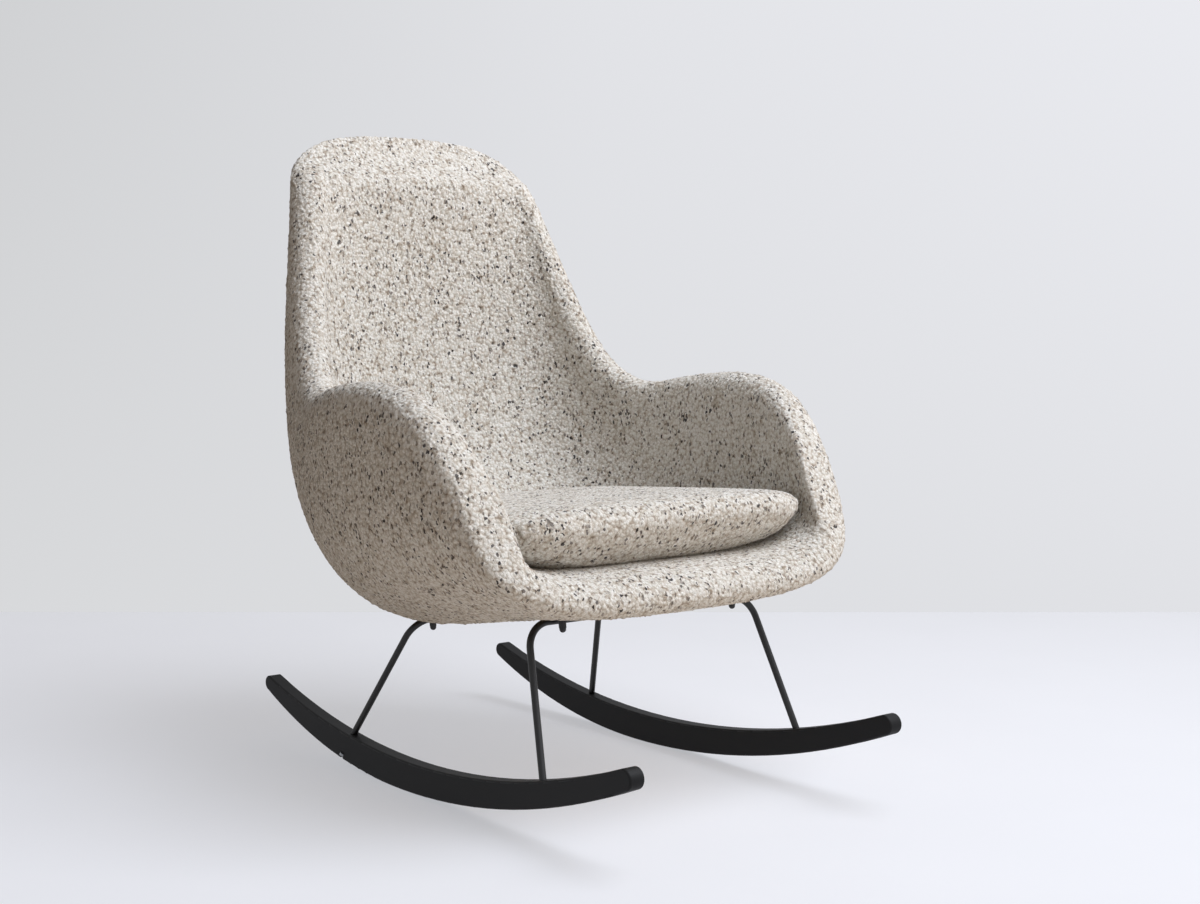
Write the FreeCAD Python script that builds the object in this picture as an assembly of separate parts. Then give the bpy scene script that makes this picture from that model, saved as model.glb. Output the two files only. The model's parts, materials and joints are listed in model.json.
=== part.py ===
import FreeCAD, Part
import math
import os

os.makedirs("parts", exist_ok=True)
V = FreeCAD.Vector

# Upholstered rocking chair, millimetres. Front is -Y, up is +Z, the sitter's right is -X.
# The origin lies on the floor, midway between the rockers and between their tips.

# Bucket, overall
SHELL_WIDTH = 740.0
SHELL_DEPTH = 810.0
SHELL_HEIGHT = 770.0
SHELL_FRONT_Y = -358.0
SHELL_BASE_Z = 228.0
FRONT_NOSE = 36.0
FRONT_CORNER = 14.0
TOP_NOSE = 84.0
TOP_CORNER = 88.0
TOP_ROUND = 36.0

# Bucket layers
COVER = 3.0
LAYER_GAP = 0.6
STIFF_SHELL = 6.0
STIFF_EDGE = 4.0
STIFF_REACH = 0.8
NOSE_GAP = 1.0
FOAM_SEAM = 0.53

# Bucket stations from the lip to the top of the back.
# keel: middle line of the underside, (depth, height) as shares of the bucket.
# rim: middle of the rim's bead, (half width, depth, height) as shares.
# wall: thickness at the rim. floor: thickness on the middle line.
# square: exponents of the outside and inside curves, 2 for an ellipse and more for a squarer bend.
# lift: degrees round the rim's bead, from its foot, at which the inside runs into it.
STATIONS = [
    dict(keel=(0.049, 0.083), rim=(0.835, 0.133, 0.312), wall=66, floor=60, square=(3.4, 5.4), lift=0),
    dict(keel=(0.136, 0.065), rim=(0.881, 0.211, 0.401), wall=68, floor=80, square=(3.3, 6.2), lift=0),
    dict(keel=(0.288, 0.034), rim=(0.905, 0.321, 0.446), wall=70, floor=100, square=(3.2, 6.0), lift=0),
    dict(keel=(0.491, 0.001), rim=(0.905, 0.454, 0.451), wall=68, floor=114, square=(3.2, 5.6), lift=0),
    dict(keel=(0.677, 0.013), rim=(0.878, 0.565, 0.440), wall=64, floor=104, square=(2.9, 4.8), lift=0),
    dict(keel=(0.831, 0.139), rim=(0.820, 0.654, 0.436), wall=62, floor=78, square=(2.7, 3.4), lift=4),
    dict(keel=(0.920, 0.327), rim=(0.745, 0.747, 0.496), wall=60, floor=68, square=(2.6, 2.5), lift=16),
    dict(keel=(0.957, 0.535), rim=(0.670, 0.823, 0.632), wall=60, floor=66, square=(2.6, 2.1), lift=34),
    dict(keel=(0.971, 0.730), rim=(0.598, 0.880, 0.779), wall=60, floor=66, square=(2.6, 1.9), lift=50),
    dict(keel=(0.978, 0.891), rim=(0.546, 0.923, 0.891), wall=60, floor=66, square=(2.7, 1.9), lift=60),
]

# Rockers
ROCKER_GAUGE = 466.0
ROCKER_THICK = 24.0
ROCKER_LENGTH = 966.0
ROCKER_FRONT_RADIUS = 1426.0
ROCKER_REAR_RADIUS = 1039.0
ROCKER_TOP_RADIUS = 1504.0
ROCKER_MID_DEPTH = 45.0
ROCKER_CONTACT_Y = 81.0
ROCKER_TOP_Y = 62.0
ROCKER_EDGE = 3.0

# Leg hoops
ROD = 10.0
ROD_BEND = 40.0
ROD_SOCKET = 24.0
ROD_FIT = 0.15
FRONT_FOOT_Y = -287.0
FRONT_RUN_X = 203.0
FRONT_RUN_Y = -212.0
FRONT_ROD_SINK = 9.1
REAR_FOOT_Y = 210.0
REAR_RUN_X = 179.0
REAR_RUN_Y = 117.0
REAR_ROD_SINK = 12.1

# Mounting board, plates and bolts
BOARD_THICK = 9.0
BOARD_HALF_WIDTH = 186.0
BOARD_LAP = 26.0
BOARD_CORNER = 30.0
BOARD_FIT = 0.8
ROD_TO_BOARD = 0.3
BOLT_X = 156.0
BOLT_OFFSET = 15.0
BOLT = 6.0
BOLT_FIT = 0.3
BOLT_HEAD = 16.0
BOLT_HEAD_HIGH = 3.3
BOLT_HEAD_SINK = 2.0
SLEEVE = 12.0
TAB_LENGTH = 34.0
TAB_WIDTH = 26.0
TAB_THICK = 3.0
WASHER = 12.0
WASHER_THICK = 1.6
NUT_FLATS = 10.0
LOCK_NUT_HIGH = 5.0
CAP_NUT_HIGH = 12.0
CAP_NUT_HEX = 5.5
CAP_DOME = 9.5

# Rocker screws
SCREW = 5.0
SCREW_HEAD = 10.0
SCREW_HEAD_HIGH = 4.0
SCREW_SINK = 8.0
SCREW_GRIP = 16.0

# Loose cushion
CUSHION_SIDE_GAP = 12.0
CUSHION_LIP = 64.0
CUSHION_BACK_GAP = 23.0
CUSHION_SEAT_GAP = 0.4
CUSHION_TILT = 3.0
CUSHION_THICK = 84.0
CUSHION_SQUARE = 7.0
CUSHION_TAPER = 0.12
CUSHION_FRONT_FULL = 0.55
CUSHION_COVER = 2.0
CUSHION_GAP = 0.6


def skin(loops):
    """A solid whose side is one smooth cubic surface over closed loops of points, with flat ends."""
    around, along = len(loops[0]), len(loops)
    net = [[loop[i] for loop in loops] for i in range(around)]
    side = Part.BSplineSurface()
    ends = [4] + [1] * (along - 4) + [4]
    side.buildFromPolesMultsKnots(net, [1] * (around + 1), ends, list(range(around + 1)),
                                  list(range(along - 2)), True, False, 3, 3)
    face = side.toShape()
    rings = [e for e in face.Edges if e.isClosed()]
    caps = [Part.Face(Part.Wire([ring])) for ring in rings]
    shell = Part.Shell([face] + caps)
    shell.sewShape()
    return Part.Solid(shell)


def guide(values):
    """A function of 0 to 1 that runs smoothly through one vector per station."""
    curve = Part.BSplineCurve()
    curve.interpolate(Points=values, Parameters=STEPS)
    return curve


def keel_point(row):
    y, z = row["keel"]
    return V(0, SHELL_FRONT_Y + y * SHELL_DEPTH, SHELL_BASE_Z + z * SHELL_HEIGHT)


def rim_point(row):
    x, y, z = row["rim"]
    return V(x * SHELL_WIDTH / 2, SHELL_FRONT_Y + y * SHELL_DEPTH, SHELL_BASE_Z + z * SHELL_HEIGHT)


def station_steps():
    """Place of each station along the bucket, measured halfway between keel and rim."""
    steps = [0.0]
    for a, b in zip(STATIONS, STATIONS[1:]):
        p = keel_point(a) + rim_point(a)
        q = keel_point(b) + rim_point(b)
        gap = V(0, q.y - p.y, q.z - p.z)
        steps.append(steps[-1] + gap.Length / 2)
    return [s / steps[-1] for s in steps], steps[-1]


STEPS, RUN = station_steps()
KEEL = guide([keel_point(r) for r in STATIONS])
RIM = guide([rim_point(r) for r in STATIONS])
BUILD = guide([V(r["wall"], r["floor"], 100 * i) for i, r in enumerate(STATIONS)])
BEND = guide([V(r["square"][0], r["square"][1], i) for i, r in enumerate(STATIONS)])
LIFT = guide([V(r["lift"], 100 * i, 0) for i, r in enumerate(STATIONS)])


class Frame:
    """One cross-section plane of the bucket: keel, rim, thicknesses, and how far the nose has closed."""

    def __init__(self, at, beyond=0.0, close=1.0, narrow=0.0):
        ends = (0.0, 1.0)
        side = min(ends, key=lambda e: abs(e - at))
        self.keel = KEEL.value(at)
        self.rim = RIM.value(at)
        build = BUILD.value(at)
        if beyond:
            step = beyond / RUN * (1 if side else -1)
            self.keel = self.keel + KEEL.getD1(at)[1] * step
            self.rim = self.rim + RIM.getD1(at)[1] * step
        self.wall, self.floor = build.x, build.y
        bend = BEND.value(at)
        self.bends = (bend.x, bend.y)
        self.lift = LIFT.value(at).x
        self.mid = self.rim.x - narrow
        rise = V(0, self.rim.y - self.keel.y, self.rim.z - self.keel.z)
        self.high = rise.Length
        self.up = rise / self.high
        self.close = close
        self.beyond = beyond

    def put(self, x, h):
        return self.keel + self.up * h + V(x, 0, 0)

    def half(self, inset):
        """Half thickness at the rim and on the middle line, inset from the outside."""
        return ((self.wall / 2 - inset) * self.close, (self.floor / 2 - inset) * self.close)

    def curve(self, side, rim_half, keel_half, turns):
        """Points across the bucket on one side of the wall's middle: side -1 outside, 1 inside."""
        points = []
        lift = math.radians(self.lift) if side > 0 else 0.0
        low = self.floor / 2 + side * keel_half
        high = self.high + rim_half * math.sin(lift)
        wide = self.mid - side * rim_half * math.cos(lift)
        share = (1 + side * rim_half / (self.wall / 2)) / 2
        power = 2 / (self.bends[0] + (self.bends[1] - self.bends[0]) * share)
        for i in range(-turns, turns + 1):
            angle = math.pi / 2 * i / turns
            x = math.copysign(abs(math.sin(angle)) ** power, angle)
            h = 1 - abs(math.cos(angle)) ** power if abs(i) < turns else 1.0
            points.append(self.put(wide * x, low + (high - low) * h))
        return points

    def bead(self, hand, radius, degrees):
        """A point on the rim's round: 0 degrees at its outer foot, 90 on the crest, 180 at its inner foot."""
        turn = math.radians(degrees)
        x = self.mid + radius * math.cos(turn)
        return self.put(hand * x, self.high + radius * math.sin(turn))


TURNS = 9
NOSE = (86, 76, 62, 46, 28, 12)
BODY = 26


def nose(at, length, corner, round_length, inset):
    """Planes that close one end: the width draws in over the length, the wall over its last round."""
    found = []
    for degrees in NOSE:
        ahead = (length - inset) * math.sin(math.radians(degrees))
        into = max(0.0, (ahead - length + round_length) / (round_length - inset))
        narrow = corner * (1 - math.sqrt(1 - (ahead / length) ** 2))
        found.append(Frame(at, ahead, math.sqrt(1 - into ** 2), narrow))
    return found


def frames(inset):
    """Cross-section planes from the front nose over the body to the top nose, noses brought in."""
    front = nose(0.0, FRONT_NOSE, FRONT_CORNER, FRONT_NOSE, inset)
    top = nose(1.0, TOP_NOSE, TOP_CORNER, TOP_ROUND, inset)
    return front + [Frame(i / BODY) for i in range(BODY + 1)] + top[::-1]


def wall_loop(frame, rim_half, keel_half):
    """Closed section of a layer that runs round the whole wall."""
    outer = frame.curve(-1, rim_half, keel_half, TURNS)
    inner = frame.curve(1, rim_half, keel_half, TURNS)
    turn = (45, 90, 135 - frame.lift / 2)
    right = [frame.bead(1, rim_half, d) for d in turn]
    left = [frame.bead(-1, rim_half, d) for d in turn[::-1]]
    return outer + right + inner[::-1] + left


def wall_solid(inset):
    """The bucket's outside brought in by an inset, as one solid."""
    return skin([wall_loop(f, *f.half(inset)) for f in frames(inset)])


def stiff_solid():
    """The moulded stiff shell: a thin wall on the middle of the thick one, finer where it runs into a nose."""
    loops = []
    for f in frames(COVER + LAYER_GAP + NOSE_GAP):
        if f.close > STIFF_REACH:
            half = (STIFF_EDGE if f.beyond else STIFF_SHELL) / 2
            loops.append(wall_loop(f, half, half))
    return skin(loops)


def foam_loop(frame, side, inset):
    """Closed section of the padding on one side of the stiff shell, up to the crest of the rim."""
    rim_half, keel_half = frame.half(inset)
    room = min(STIFF_SHELL / 2 + LAYER_GAP, rim_half / 4)
    skin_points = frame.curve(side, rim_half, keel_half, TURNS)
    core_points = frame.curve(side, room, room, TURNS)
    turn = (45, 88) if side < 0 else (135 - frame.lift / 2, 92)
    right = [frame.bead(1, rim_half, d) for d in turn] + [frame.bead(1, room, d) for d in turn[::-1]]
    left = [frame.bead(-1, room, d) for d in turn] + [frame.bead(-1, rim_half, d) for d in turn[::-1]]
    return skin_points + right + core_points[::-1] + left


def foam_solid(side):
    inset = COVER + LAYER_GAP
    return skin([foam_loop(f, side, inset) for f in frames(inset + NOSE_GAP)])


def foam_panels(foam):
    """The padding of one side in two panels, for the seat and the back, with a glue line between them."""
    f = Frame(FOAM_SEAM)
    low, high = -f.floor, f.high + f.wall
    wide = SHELL_WIDTH
    corners = [f.put(x, h) for x, h in ((-wide, low), (wide, low), (wide, high), (-wide, high))]
    seam = Part.Face(Part.makePolygon(corners + corners[:1]))
    panels = foam.cut(seam.extrude(f.up.cross(V(1, 0, 0)) * LAYER_GAP)).Solids
    return sorted(panels, key=lambda panel: panel.CenterOfMass.z)


def unit(vector):
    return vector / vector.Length


def rod_path(corners, radius):
    """Straight runs joined by tangent bends of one radius."""
    edges = []
    start = corners[0]
    for before, corner, after in zip(corners, corners[1:], corners[2:]):
        a = unit(before - corner)
        b = unit(after - corner)
        half_angle = a.getAngle(b) / 2
        back = radius / math.tan(half_angle)
        centre = corner + unit(a + b) * (radius / math.sin(half_angle))
        middle = centre - unit(a + b) * radius
        edges.append(Part.makeLine(start, corner + a * back))
        edges.append(Part.Arc(corner + a * back, middle, corner + b * back).toShape())
        start = corner + b * back
    edges.append(Part.makeLine(start, corners[-1]))
    return Part.Wire(edges)


def rod_solid(path, radius):
    first = path.Edges[0]
    along = first.tangentAt(first.FirstParameter)
    ring = Part.Wire(Part.makeCircle(radius, path.Vertexes[0].Point, along))
    return path.makePipeShell([ring], True, False)


def mirrored(point):
    return V(-point.x, point.y, point.z)


def both_sides(shape):
    return Part.makeCompound([shape, shape.mirror(V(0, 0, 0), V(1, 0, 0))])


# Rockers
def arc_height(radius, middle, y):
    return radius - math.sqrt(radius ** 2 - (y - middle) ** 2)


def sole(y):
    """Height of the sole: a flatter arc in front of the contact line and a tighter one behind it."""
    radius = ROCKER_FRONT_RADIUS if y < ROCKER_CONTACT_Y else ROCKER_REAR_RADIUS
    return arc_height(radius, ROCKER_CONTACT_Y, y)


def sole_arc(a, b):
    middle = (a.y + b.y) / 2
    return Part.Arc(a, V(0, middle, sole(middle)), b).toShape()


def rocker_top(y):
    return ROCKER_MID_DEPTH + arc_height(ROCKER_TOP_RADIUS, ROCKER_TOP_Y, y)


def rocker_tip(y, way):
    """Lower end, outermost point and upper end of a rounded tip about y; way is -1 at the front."""
    slope = math.atan((sole(y + 1) - sole(y - 1)) / 2)
    r = (rocker_top(y) - sole(y)) * math.cos(slope) / 2
    low_y = y + r * math.sin(slope)
    high_y = y - r * math.sin(slope)
    low = V(0, low_y, sole(low_y))
    high = V(0, high_y, rocker_top(high_y))
    out = (low + high) / 2 + V(0, math.cos(slope), math.sin(slope)) * r * way
    return low, out, high


def rocker_solid():
    """Crescent with a sole of two tangent arcs, a hollow top and rounded tips, centred on X = 0."""
    half = ROCKER_LENGTH / 2
    inset = (rocker_top(half) - sole(half)) / 2
    front_low, front_out, front_high = rocker_tip(-half + inset, -1)
    rear_low, rear_out, rear_high = rocker_tip(half - inset, 1)
    contact = V(0, ROCKER_CONTACT_Y, 0)
    edges = [
        sole_arc(front_low, contact),
        sole_arc(contact, rear_low),
        Part.Arc(rear_low, rear_out, rear_high).toShape(),
        Part.Arc(rear_high, V(0, ROCKER_TOP_Y, ROCKER_MID_DEPTH), front_high).toShape(),
        Part.Arc(front_high, front_out, front_low).toShape(),
    ]
    blank = Part.Face(Part.Wire(edges)).extrude(V(ROCKER_THICK, 0, 0))
    blank.translate(V(-ROCKER_THICK / 2, 0, 0))
    rims = [e for e in blank.Edges if abs(e.Vertexes[0].X - e.Vertexes[-1].X) < 0.01]
    return blank.makeFillet(ROCKER_EDGE, rims)


# Leg hoops
def keel_height(y):
    """Height of the bucket's underside on its middle line, found by halving along the seat."""
    low, high = 0.0, 0.6
    for _ in range(40):
        middle = (low + high) / 2
        if KEEL.value(middle).y < y:
            low = middle
        else:
            high = middle
    return KEEL.value(low).z


# The cross runs lie in the underside, their middles sunk above its middle line.
FRONT_RUN = V(FRONT_RUN_X, FRONT_RUN_Y, keel_height(FRONT_RUN_Y) + FRONT_ROD_SINK)
REAR_RUN = V(REAR_RUN_X, REAR_RUN_Y, keel_height(REAR_RUN_Y) + REAR_ROD_SINK)


def hoop_corners(foot_y, corner):
    top = V(ROCKER_GAUGE / 2, foot_y, rocker_top(foot_y))
    along = unit(top - corner)
    end = top + along * ROD_SOCKET
    return end, corner


FRONT_END, FRONT_CORNER_POINT = hoop_corners(FRONT_FOOT_Y, FRONT_RUN)
REAR_END, REAR_CORNER_POINT = hoop_corners(REAR_FOOT_Y, REAR_RUN)
HOOPS = {"front": (FRONT_END, FRONT_CORNER_POINT), "rear": (REAR_END, REAR_CORNER_POINT)}


def hoop_path(end, corner):
    return rod_path([end, corner, mirrored(corner), mirrored(end)], ROD_BEND)


# The board's underside lies on both hoops' cross runs.
BOARD_SLOPE = math.atan2(REAR_RUN.z - FRONT_RUN.z, REAR_RUN.y - FRONT_RUN.y)
BOARD_UP = V(0, -math.sin(BOARD_SLOPE), math.cos(BOARD_SLOPE))
BOARD_BACK = V(0, math.cos(BOARD_SLOPE), math.sin(BOARD_SLOPE))
BOARD_ORIGIN = V(0, FRONT_RUN.y, FRONT_RUN.z) + BOARD_UP * (ROD / 2 + ROD_TO_BOARD)
RUN_SPAN = math.hypot(REAR_RUN.y - FRONT_RUN.y, REAR_RUN.z - FRONT_RUN.z)


def on_board(x, back, up):
    return BOARD_ORIGIN + V(x, 0, 0) + BOARD_BACK * back + BOARD_UP * up


def board_prism(grow, low, high):
    """The board's outline with rounded corners, grown and drawn out square to the board."""
    half = BOARD_HALF_WIDTH + grow
    front = -BOLT_OFFSET - BOARD_LAP - grow
    rear = RUN_SPAN + BOARD_LAP + grow
    r = BOARD_CORNER + grow
    s = r * (1 - math.sqrt(0.5))
    marks = [
        ((-half + r, front), (half - r, front)),
        ((half - r, front), (half - s, front + s), (half, front + r)),
        ((half, front + r), (half, rear - r)),
        ((half, rear - r), (half - s, rear - s), (half - r, rear)),
        ((half - r, rear), (-half + r, rear)),
        ((-half + r, rear), (-half + s, rear - s), (-half, rear - r)),
        ((-half, rear - r), (-half, front + r)),
        ((-half, front + r), (-half + s, front + s), (-half + r, front)),
    ]
    edges = []
    for mark in marks:
        points = [on_board(x, y, low) for x, y in mark]
        edges.append(Part.makeLine(*points) if len(points) == 2 else Part.Arc(*points).toShape())
    return Part.Face(Part.Wire(edges)).extrude(BOARD_UP * (high - low))


BOLTS = [(x, back - BOLT_OFFSET) for back in (0.0, RUN_SPAN) for x in (BOLT_X, -BOLT_X)]


def bolt_cylinder(place, radius, low, high):
    return Part.makeCylinder(radius, high - low, on_board(place[0], place[1], low), BOARD_UP)


def levels(solid, place, low, high):
    """Heights above the board's underside where a bolt's line enters and leaves a solid."""
    line = Part.makeLine(on_board(*place, low), on_board(*place, high))
    cut = solid.common(line)
    heights = sorted((v.Point - BOARD_ORIGIN).dot(BOARD_UP) for v in cut.Vertexes)
    return heights[0], heights[-1]


def hex_prism(place, flats, low, high):
    ring = [on_board(place[0], place[1], low)] * 6
    radius = flats / math.sqrt(3)
    points = []
    for i, centre in enumerate(ring):
        a = math.radians(60 * i)
        points.append(centre + V(radius * math.cos(a), 0, 0) + BOARD_BACK * radius * math.sin(a))
    return Part.Face(Part.makePolygon(points + points[:1])).extrude(BOARD_UP * (high - low))


def revolved(place, outline):
    """A solid turned about a bolt's line from (radius, height) corners."""
    points = [on_board(place[0] + r, place[1], h) for r, h in outline]
    face = Part.Face(Part.makePolygon(points + points[:1]))
    return face.revolve(on_board(place[0], place[1], 0), BOARD_UP, 360)


def tab_solid(place, hoop):
    """Flat plate under the board that reaches from a bolt to its rod, cut to lie against the rod."""
    front = place[1] - TAB_WIDTH / 2
    rear = place[1] + BOLT_OFFSET
    left = place[0] - TAB_LENGTH / 2
    right = place[0] + TAB_LENGTH / 2
    corners = [(left, front), (right, front), (right, rear), (left, rear)]
    points = [on_board(x, y, -TAB_THICK) for x, y in corners]
    plate = Part.Face(Part.makePolygon(points + points[:1])).extrude(BOARD_UP * TAB_THICK)
    return plate.cut(rod_solid(hoop_path(*hoop), ROD / 2 + ROD_FIT))


# Cushion
def cushion_levels(inset):
    """Height and draw-in of each outline, from the underside over the widest line to the crown."""
    rows = [(0.0, 126), (0.04, 90), (0.13, 52), (0.30, 20), (0.52, 1), (0.72, 0),
            (0.87, 18), (0.95, 50), (0.98, 104), (1.0, 176)]
    low, high = inset, CUSHION_THICK - inset
    return [(low + share * (high - low), draw + inset) for share, draw in rows]


# The cushion lies between the arms, behind the lip and in front of the back.
WIDEST = max(STATIONS, key=lambda row: row["rim"][0])
CROOK = STATIONS[5]
CUSHION_HALF_WIDTH = rim_point(WIDEST).x - WIDEST["wall"] / 2 - CUSHION_SIDE_GAP
CUSHION_FRONT_Y = SHELL_FRONT_Y + CUSHION_LIP
CUSHION_REAR_Y = keel_point(CROOK).y - CROOK["floor"] - CUSHION_BACK_GAP
CUSHION_TURNS = 48


def cushion_outline(height, draw):
    """One outline of the cushion: a superellipse that narrows to the rear, fuller at the front."""
    half_y = (CUSHION_REAR_Y - CUSHION_FRONT_Y) / 2
    tilt = math.radians(CUSHION_TILT)
    points = []
    for i in range(CUSHION_TURNS):
        a = 2 * math.pi * i / CUSHION_TURNS
        c, s = math.cos(a), math.sin(a)
        x = math.copysign(abs(c) ** (2 / CUSHION_SQUARE), c)
        y = math.copysign(abs(s) ** (2 / CUSHION_SQUARE), s)
        full = 1 - CUSHION_FRONT_FULL * max(0.0, -s) ** 3
        px = (CUSHION_HALF_WIDTH - draw) * x * (1 - CUSHION_TAPER * (y + 1) / 2)
        py = (half_y - draw * full) * y + half_y
        back = py * math.cos(tilt) + height * math.sin(tilt)
        rise = height * math.cos(tilt) - py * math.sin(tilt)
        points.append(V(px, CUSHION_FRONT_Y + back, rise))
    return points


def cushion_solid(inset):
    return skin([cushion_outline(*row) for row in cushion_levels(inset)])


def side_surface(solid):
    return max(solid.Faces, key=lambda face: face.Area).Surface


def height_over(surface, point, place):
    """Height of a surface over a point on the plan, by Newton steps from a place near it."""
    u, v = place
    for _ in range(9):
        here = surface.value(u, v)
        du = surface.getDN(u, v, 1, 0)
        dv = surface.getDN(u, v, 0, 1)
        scale = du.x * dv.y - du.y * dv.x
        off = point - here
        u += (off.x * dv.y - off.y * dv.x) / scale
        v += (du.x * off.y - du.y * off.x) / scale
    return surface.value(u, v).z


def seat_height(bucket, cushion):
    """How far the cushion rises from Z = 0 until it rests on the inside of the bucket, with its seat gap."""
    bowl = side_surface(bucket)
    inside = 2 * TURNS + 3
    marks = [(inside + i / 2, 6 + j / 2) for i in range(1, 4 * TURNS) for j in range(36)]
    marks = [(bowl.value(*mark), mark) for mark in marks]
    under = side_surface(cushion)
    spots = [under.value(i / 2, j / 2) for i in range(2 * CUSHION_TURNS) for j in range(9)]
    ring = spots[::9]
    middle = sum(ring, V()) / len(ring)
    spots += [middle + (spot - middle) * share for spot in ring for share in (0.25, 0.5, 0.75)]
    rises = []
    for spot in spots:
        near = min(marks, key=lambda mark: math.hypot(mark[0].x - spot.x, mark[0].y - spot.y))
        rises.append(height_over(bowl, spot, near[1]) - spot.z)
    return max(rises) + CUSHION_SEAT_GAP


def main():
    nodes = {}

    # Rods and rockers
    rods = {}
    notches = []
    for name, (end, corner) in HOOPS.items():
        path = hoop_path(end, corner)
        rods[name] = rod_solid(path, ROD / 2)
        notches.append(rod_solid(path, ROD / 2 + BOARD_FIT))
    right = rocker_solid()
    right.translate(V(ROCKER_GAUGE / 2, 0, 0))
    screws = []
    for name, (end, corner) in HOOPS.items():
        axis = unit(corner - end)
        socket = Part.makeCylinder(ROD / 2 + ROD_FIT, 4 * ROD_SOCKET, end - axis * ROD_FIT, axis)
        sole_depth = (end.z - sole(end.y)) / axis.z
        head = end - axis * (sole_depth - SCREW_SINK - SCREW_HEAD_HIGH)
        sink = Part.makeCylinder(SCREW_HEAD / 2 + ROD_FIT, 60, head - axis * 60, axis)
        shank_hole = Part.makeCylinder(SCREW / 2 + ROD_FIT, 60, head - axis, axis)
        tapped = Part.makeCylinder(SCREW / 2 + ROD_FIT, SCREW_GRIP + 2, end - axis, axis)
        screw_length = (end - head).Length + SCREW_GRIP
        screw = Part.makeCylinder(SCREW / 2, screw_length, head, axis)
        screw = screw.fuse(Part.makeCylinder(SCREW_HEAD / 2, SCREW_HEAD_HIGH, head, -axis)).removeSplitter()
        right = right.cut(socket).cut(sink).cut(shank_hole)
        flip = tapped.mirror(V(0, 0, 0), V(1, 0, 0))
        rods[name] = rods[name].cut(tapped).cut(flip)
        screws.append(both_sides(screw))
    nodes["left_rocker"] = right
    nodes["right_rocker"] = right.mirror(V(0, 0, 0), V(1, 0, 0))
    nodes["rocker_screws"] = Part.makeCompound(screws)
    nodes["front_leg_hoop"] = rods["front"]
    nodes["rear_leg_hoop"] = rods["rear"]

    # Bucket layers
    outside = wall_solid(0.0)
    cover = outside.cut(wall_solid(COVER))
    opening = board_prism(BOARD_FIT, -90, BOARD_THICK + BOARD_FIT)
    stiff = stiff_solid()
    seat_outer, back_outer = foam_panels(foam_solid(-1))
    seat_inner, back_inner = foam_panels(foam_solid(1))
    seat_outer = seat_outer.cut(opening)
    cover = cover.cut(opening)
    for notch in notches:
        seat_outer = seat_outer.cut(notch)
        cover = cover.cut(notch)

    # Board, sleeves, bolts and nuts
    board = board_prism(0.0, 0.0, BOARD_THICK)
    sleeves, bolts, washers, locks, caps, tabs = [], [], [], [], [], []
    for index, place in enumerate(BOLTS):
        hole = bolt_cylinder(place, BOLT / 2 + BOLT_FIT, -60, 200)
        low, high = levels(stiff, place, 0, 200)
        seat = high - BOLT_HEAD_SINK
        stiff = stiff.cut(hole).cut(bolt_cylinder(place, BOLT_HEAD / 2 + BOLT_FIT, seat, seat + 60))
        board = board.cut(hole)
        head_room = bolt_cylinder(place, BOLT_HEAD / 2 + LAYER_GAP, 0, seat + BOLT_HEAD_HIGH + LAYER_GAP)
        seat_inner = seat_inner.cut(head_room)
        around = [(place[0] + dx * SLEEVE / 2, place[1] + dy * SLEEVE / 2)
                  for dx, dy in ((1, 0), (0, 1), (-1, 0), (0, -1))]
        under_shell = min(levels(stiff, spot, 0, 200)[0] for spot in around)
        sleeve = bolt_cylinder(place, SLEEVE / 2, BOARD_THICK, under_shell - LAYER_GAP / 2).cut(hole)
        sleeves.append(sleeve)
        seat_outer = seat_outer.cut(bolt_cylinder(place, SLEEVE / 2 + BOLT_FIT, 0, low + 20))
        under = -TAB_THICK - WASHER_THICK
        washer = bolt_cylinder(place, WASHER / 2, under, -TAB_THICK).cut(hole)
        washers.append(washer)
        lock = hex_prism(place, NUT_FLATS, under - LOCK_NUT_HIGH, under)
        bore = bolt_cylinder(place, BOLT / 2 + BOLT_FIT / 3, -60, 0)
        locks.append(lock.cut(bore))
        cap_top = under - LOCK_NUT_HIGH
        hexagon = hex_prism(place, NUT_FLATS, cap_top - CAP_NUT_HEX, cap_top)
        r = CAP_DOME / 2
        dome_at = cap_top - CAP_NUT_HIGH + r
        ball = Part.makeSphere(r, on_board(*place, dome_at), BOARD_UP)
        dome = bolt_cylinder(place, r, dome_at, cap_top).fuse(ball)
        thread = bolt_cylinder(place, BOLT / 2 + BOLT_FIT / 3, cap_top - CAP_NUT_HIGH + 3, 0)
        caps.append(hexagon.fuse(dome).removeSplitter().cut(thread))
        shank = bolt_cylinder(place, BOLT / 2, cap_top - CAP_NUT_HIGH + 4, seat)
        head = revolved(place, [(0, seat), (BOLT_HEAD / 2, seat), (BOLT_HEAD / 2, seat + 1),
                                (BOLT_HEAD / 4, seat + BOLT_HEAD_HIGH), (0, seat + BOLT_HEAD_HIGH)])
        bolts.append(shank.fuse(head).removeSplitter())
        hoop = HOOPS["front" if index < 2 else "rear"]
        tabs.append(tab_solid(place, hoop).cut(hole))
    nodes["mounting_board"] = board
    nodes["bolt_sleeves"] = Part.makeCompound(sleeves)
    nodes["mounting_bolts"] = Part.makeCompound(bolts)
    nodes["bolt_washers"] = Part.makeCompound(washers)
    nodes["lock_nuts"] = Part.makeCompound(locks)
    nodes["cap_nuts"] = Part.makeCompound(caps)
    names = ("front_left_tab", "front_right_tab", "rear_left_tab", "rear_right_tab")
    for name, tab in zip(names, tabs):
        nodes[name] = tab
    nodes["structural_shell"] = stiff
    nodes["seat_inner_foam"] = seat_inner
    nodes["back_inner_foam"] = back_inner
    nodes["seat_outer_foam"] = seat_outer
    nodes["back_outer_foam"] = back_outer
    nodes["fabric_cover"] = cover

    # Cushion
    cushion = cushion_solid(0.0)
    seat = V(0, 0, seat_height(outside, cushion))
    nodes["cushion_cover"] = cushion.cut(cushion_solid(CUSHION_COVER)).translated(seat)
    nodes["cushion_core"] = cushion_solid(CUSHION_COVER + CUSHION_GAP).translated(seat)

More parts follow.
